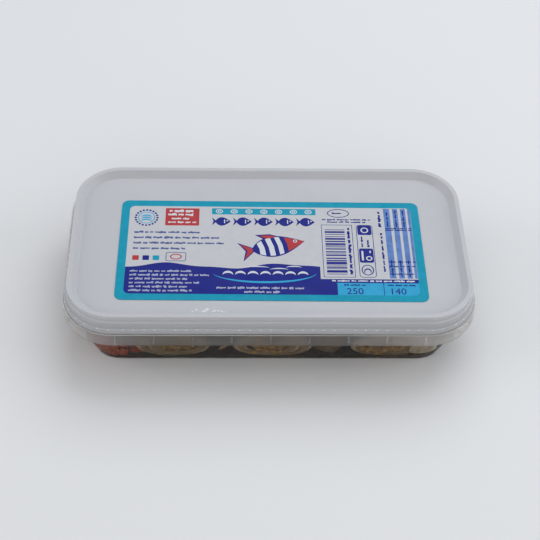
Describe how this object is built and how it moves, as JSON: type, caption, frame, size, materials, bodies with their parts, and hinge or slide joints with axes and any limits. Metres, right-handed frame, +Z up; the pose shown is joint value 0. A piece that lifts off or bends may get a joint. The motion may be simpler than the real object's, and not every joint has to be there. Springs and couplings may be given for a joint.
{
  "type": "tub of rollmops",
  "caption": "Shut shallow plastic tub of pickled rolled herring fillets, clear tapered walls, milky press-fit lid with a printed label, carrot and onion inside.",
  "frame": {"origin": "middle of the tub's flat base, on the surface it stands on", "axes": "+X along the tub's length to its right end, -Y towards the front long side, +Z up through the lid"},
  "size_m": [0.165, 0.0898, 0.0319],
  "materials": {
    "clear_plastic": "clear, slightly milky injection-moulded polypropylene",
    "milky_plastic": "milky white translucent polypropylene, satin",
    "printed_film": "printed film label, satin",
    "herring": "moist pickled herring, silver grey skin and pale brown flesh",
    "filling": "moist chopped onion with mustard seed",
    "carrot": "moist pickled carrot",
    "onion": "moist translucent pickled onion"
  },
  "bodies": {
    "root": {"tub": "clear_plastic", "lid": "milky_plastic", "label": "printed_film", "rollmop_1": "herring", "rollmop_2": "herring", "rollmop_3": "herring", "filling_1": "filling", "filling_2": "filling", "filling_3": "filling", "carrot_slice_1": "carrot", "carrot_slice_2": "carrot", "carrot_slice_3": "carrot", "carrot_slice_4": "carrot", "carrot_slice_5": "carrot", "carrot_slice_6": "carrot", "carrot_slice_7": "carrot", "carrot_slice_8": "carrot", "onion_piece_1": "onion", "onion_piece_2": "onion", "onion_piece_3": "onion", "onion_piece_4": "onion", "onion_piece_5": "onion", "onion_piece_6": "onion", "onion_piece_7": "onion", "fillet_end_1": "herring"}
  },
  "joints": []
}
